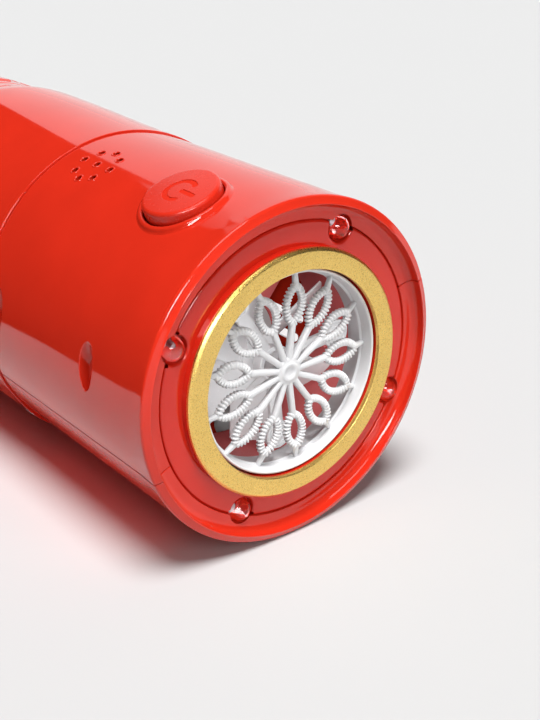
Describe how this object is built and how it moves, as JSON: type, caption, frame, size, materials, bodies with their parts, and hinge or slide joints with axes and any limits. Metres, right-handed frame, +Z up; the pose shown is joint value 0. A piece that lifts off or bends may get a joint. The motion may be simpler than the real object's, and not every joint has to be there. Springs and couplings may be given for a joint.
{
  "type": "bubble blower",
  "caption": "Round handheld bubble blower lying on its side, with a turning wand wheel and lamps in its front face, a fan behind, a power button, a grip barrel and a twist-off end cap.",
  "frame": {"origin": "centre of the box's bottom face, on the surface that the blower lies on", "axes": "+Z up, the body lies along Y with its front face to -Y, and the button is up, turned 20.5 degrees towards -X"},
  "size_m": [0.0768, 0.1724, 0.0761],
  "materials": {
    "red_shell": "glossy moulded red",
    "red_button": "satin moulded red",
    "face_red": "matt dusky red",
    "gold_trim": "satin gold",
    "white_plastic": "moulded white",
    "steel": "plain steel",
    "clear_lens": "clear",
    "black_plastic": "matt black",
    "board": "green board",
    "brass": "plain brass",
    "cell_jacket": "printed jacket, bare",
    "lead_red": "insulated lead",
    "lead_black": "insulated lead",
    "seal_rubber": "matt rubber"
  },
  "bodies": {
    "housing": {"upper_shell": "red_shell", "lower_shell": "red_shell", "barrel": "red_shell", "face_plate": "face_red", "fan_shroud": "face_red", "gold_ring": "gold_trim", "axle_bracket": "white_plastic", "wheel_axle": "steel", "bracket_screws": "steel", "shroud_screws": "steel", "board_screws": "steel", "housing_screws": "steel", "barrel_screws": "steel", "fan_motor": "steel", "wheel_motor": "steel", "speaker_frame": "steel", "lamp_1": "clear_lens", "lamp_2": "clear_lens", "lamp_3": "clear_lens", "lamp_4": "clear_lens", "switch_body": "black_plastic", "speaker_cone": "black_plastic", "battery_cage": "black_plastic", "cage_lid": "black_plastic", "main_board": "board", "front_contacts": "brass", "rear_contacts": "brass", "cell_1": "cell_jacket", "cell_2": "cell_jacket", "cell_3": "cell_jacket", "cell_4": "cell_jacket", "positive_lead": "lead_red", "negative_lead": "lead_black", "cap_seal": "seal_rubber"},
    "button": {"power_button": "red_button", "switch_plunger": "black_plastic"},
    "wheel": {"wand_wheel": "white_plastic"},
    "pinion": {"wheel_pinion": "brass", "motor_shaft": "steel"},
    "fan_rotor": {"fan": "white_plastic", "fan_shaft": "steel"},
    "cap": {"end_cap": "red_shell"}
  },
  "joints": [
    {"name": "button_press", "type": "slide", "parent": "housing", "child": "button", "axis": [0.3502, 0, -0.9367], "range_m": [0, 0.0012], "stiffness_N_per_m": 1500},
    {"name": "wheel_spin", "type": "hinge", "parent": "housing", "child": "wheel", "pos_m": [0, 0, 0.0374], "axis": [0, 1, 0], "continuous": true},
    {"name": "pinion_spin", "type": "hinge", "parent": "housing", "child": "pinion", "pos_m": [0.00984, 0, 0.01108], "axis": [0, 1, 0], "continuous": true},
    {"name": "fan_spin", "type": "hinge", "parent": "housing", "child": "fan_rotor", "pos_m": [0, 0, 0.0374], "axis": [0, 1, 0], "continuous": true},
    {"name": "cap_twist", "type": "hinge", "parent": "housing", "child": "cap", "pos_m": [0, 0, 0.0374], "axis": [0, -1, 0], "range_deg": [0, 30]}
  ],
  "couplings": [
    {"joint": "pinion_spin", "follows": "wheel_spin", "ratio": -7}
  ]
}
